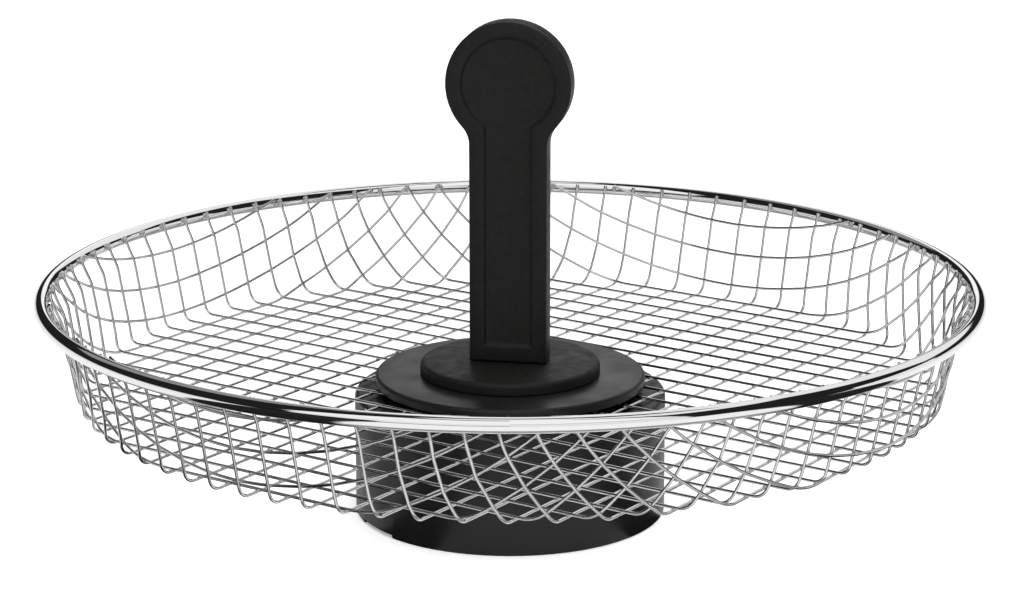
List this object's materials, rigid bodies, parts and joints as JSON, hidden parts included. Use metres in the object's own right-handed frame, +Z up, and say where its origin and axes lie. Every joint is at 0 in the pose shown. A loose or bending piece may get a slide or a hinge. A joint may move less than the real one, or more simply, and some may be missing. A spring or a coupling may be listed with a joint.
{
  "type": "deep fryer snack basket",
  "caption": "Shallow round wire mesh basket on a black plastic base drum with an upright central handle, for frying snacks in a deep fryer.",
  "frame": {"origin": "centre of the ring on the underside of the base drum, where the basket stands", "axes": "+Z up along the handle; -Y is the side that the handle's sunk panel faces; +X to that side's right"},
  "size_m": [0.25, 0.25, 0.1323],
  "materials": {
    "rim_chrome": "mirror polished chrome plate",
    "mesh_wire": "bright drawn wire with small welds at the crossings",
    "base_plastic": "satin black moulding",
    "handle_plastic": "charcoal moulding with a fine matt texture",
    "screw_steel": "plain steel"
  },
  "bodies": {
    "basket": {"base_drum": "base_plastic", "hub_plate": "base_plastic", "hub_screw_1": "screw_steel", "hub_screw_2": "screw_steel", "hub_screw_3": "screw_steel", "hub_screw_4": "screw_steel", "inner_mesh_wires_01": "mesh_wire", "inner_mesh_wires_02": "mesh_wire", "inner_mesh_wires_03": "mesh_wire", "inner_mesh_wires_04": "mesh_wire", "inner_mesh_wires_05": "mesh_wire", "inner_mesh_wires_06": "mesh_wire", "inner_mesh_wires_07": "mesh_wire", "inner_mesh_wires_08": "mesh_wire", "inner_mesh_wires_09": "mesh_wire", "inner_mesh_wires_10": "mesh_wire", "inner_mesh_wires_11": "mesh_wire", "inner_mesh_wires_12": "mesh_wire", "inner_mesh_wires_13": "mesh_wire", "inner_mesh_wires_14": "mesh_wire", "inner_mesh_wires_15": "mesh_wire", "inner_mesh_wires_16": "mesh_wire", "inner_mesh_wires_17": "mesh_wire", "inner_mesh_wires_18": "mesh_wire", "inner_mesh_wires_19": "mesh_wire", "outer_mesh_wires_01": "mesh_wire", "outer_mesh_wires_02": "mesh_wire", "outer_mesh_wires_03": "mesh_wire", "outer_mesh_wires_04": "mesh_wire", "outer_mesh_wires_05": "mesh_wire", "outer_mesh_wires_06": "mesh_wire", "outer_mesh_wires_07": "mesh_wire", "outer_mesh_wires_08": "mesh_wire", "outer_mesh_wires_09": "mesh_wire", "outer_mesh_wires_10": "mesh_wire", "outer_mesh_wires_11": "mesh_wire", "outer_mesh_wires_12": "mesh_wire", "outer_mesh_wires_13": "mesh_wire", "outer_mesh_wires_14": "mesh_wire", "outer_mesh_wires_15": "mesh_wire", "outer_mesh_wires_16": "mesh_wire", "outer_mesh_wires_17": "mesh_wire", "outer_mesh_wires_18": "mesh_wire", "outer_mesh_wires_19": "mesh_wire", "rim_ring": "rim_chrome"},
    "handle": {"handle_foot": "handle_plastic", "handle_front_shell": "handle_plastic", "handle_rear_shell": "handle_plastic", "handle_screw_1": "screw_steel", "handle_screw_2": "screw_steel", "handle_screw_3": "screw_steel"}
  },
  "joints": [
    {"name": "handle_twist", "type": "hinge", "parent": "basket", "child": "handle", "pos_m": [0, 0, 0.0285], "axis": [0, 0, 1], "range_deg": [0, 60]}
  ]
}
